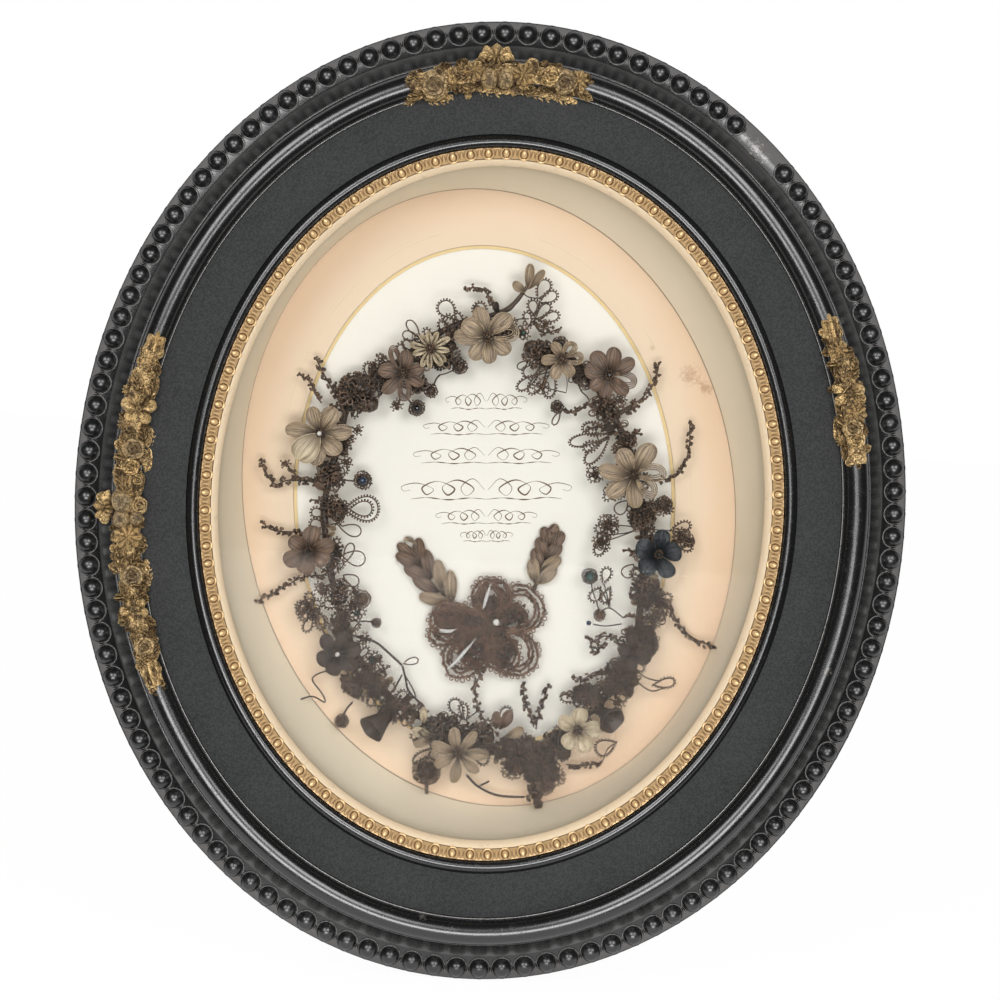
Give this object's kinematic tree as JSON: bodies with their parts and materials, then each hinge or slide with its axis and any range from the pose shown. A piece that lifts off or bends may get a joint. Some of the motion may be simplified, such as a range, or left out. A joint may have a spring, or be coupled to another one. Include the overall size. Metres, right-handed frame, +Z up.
{
  "type": "victorian hair wreath in an oval shadow box",
  "caption": "Deep oval shadow box with a beaded black moulding and gilded ornaments, glazed over a wreath of dark hair flowers wired in front of a matted card; it hangs by a ring.",
  "frame": {"origin": "centre of the backboard's outer face, which lies on the wall", "axes": "+X to the right seen from the front, +Z up, and the front faces -Y"},
  "size_m": [0.528, 0.0966, 0.61],
  "materials": {
    "pine": "bare, darkened with age",
    "ebonised_wood": "glossy black shellac, worn at the edges",
    "black_panel": "matt black with a fine texture",
    "gilding": "burnished gilding over moulded composition, brown in the hollows",
    "pale_gilding": "pale matt gilding",
    "glass": "clear",
    "cream_lining": "aged cream paper",
    "peach_mat": "peach paper with foxing",
    "card": "off-white card",
    "steel_wire": "dulled iron wire",
    "brass": "dulled brass",
    "dark_hair": "dark brown hair bound on wire",
    "light_hair": "light brown hair bound on wire",
    "copper_hair": "copper-brown hair bound on wire",
    "pearl": "pearly white bead"
  },
  "bodies": {
    "shadow_box": {"carcass_top": "pine", "carcass_left": "pine", "carcass_bottom": "pine", "carcass_right": "pine", "bead_strip_upper_right": "ebonised_wood", "bead_strip_upper_left": "ebonised_wood", "bead_strip_lower_left": "ebonised_wood", "bead_strip_lower_right": "ebonised_wood", "torus_moulding": "ebonised_wood", "flat_panel": "black_panel", "inner_bead_moulding": "ebonised_wood", "egg_and_dart_band": "gilding", "gilt_slip": "pale_gilding", "ornament_top": "gilding", "ornament_left": "gilding", "ornament_right": "gilding", "glass_pane": "glass", "cove_liner": "cream_lining", "box_side": "pine", "mat_board": "peach_mat", "mat_gilt_edge": "gilding", "card": "card", "backboard": "pine", "brad_1": "steel_wire", "brad_2": "steel_wire", "brad_3": "steel_wire", "brad_4": "steel_wire", "hanger_plate": "brass", "hanger_screw_1": "brass", "hanger_screw_2": "brass", "stem_left": "dark_hair", "stem_right": "dark_hair", "stay_top": "steel_wire", "stay_left": "steel_wire", "stay_right": "steel_wire", "flower_left_pale": "light_hair", "flower_upper_left_dark": "dark_hair", "flower_upper_left_star": "dark_hair", "flower_top_pale": "light_hair", "flower_top_right_light": "light_hair", "flower_upper_right_brown": "dark_hair", "flower_right_light": "light_hair", "flower_right_slate": "dark_hair", "flower_lower_right_light": "light_hair", "flower_bottom_ribbon": "dark_hair", "flower_lower_left_dark": "dark_hair", "flower_left_brown": "dark_hair", "spray_left": "dark_hair", "spray_left_inner": "dark_hair", "spray_top": "dark_hair", "spray_right": "dark_hair", "spray_right_inner": "dark_hair", "spray_bottom": "dark_hair", "cup_lower_left": "dark_hair", "cup_lower_right": "dark_hair", "bow": "copper_hair", "bow_pearl": "pearl", "plume_left": "dark_hair", "plume_right": "dark_hair"},
    "hanging_ring": {"hanger_ring": "brass"}
  },
  "joints": [
    {"name": "ring_hinge", "type": "hinge", "parent": "shadow_box", "child": "hanging_ring", "pos_m": [0, -0.031, 0.268], "axis": [1, 0, 0], "range_deg": [-6, 170]}
  ]
}
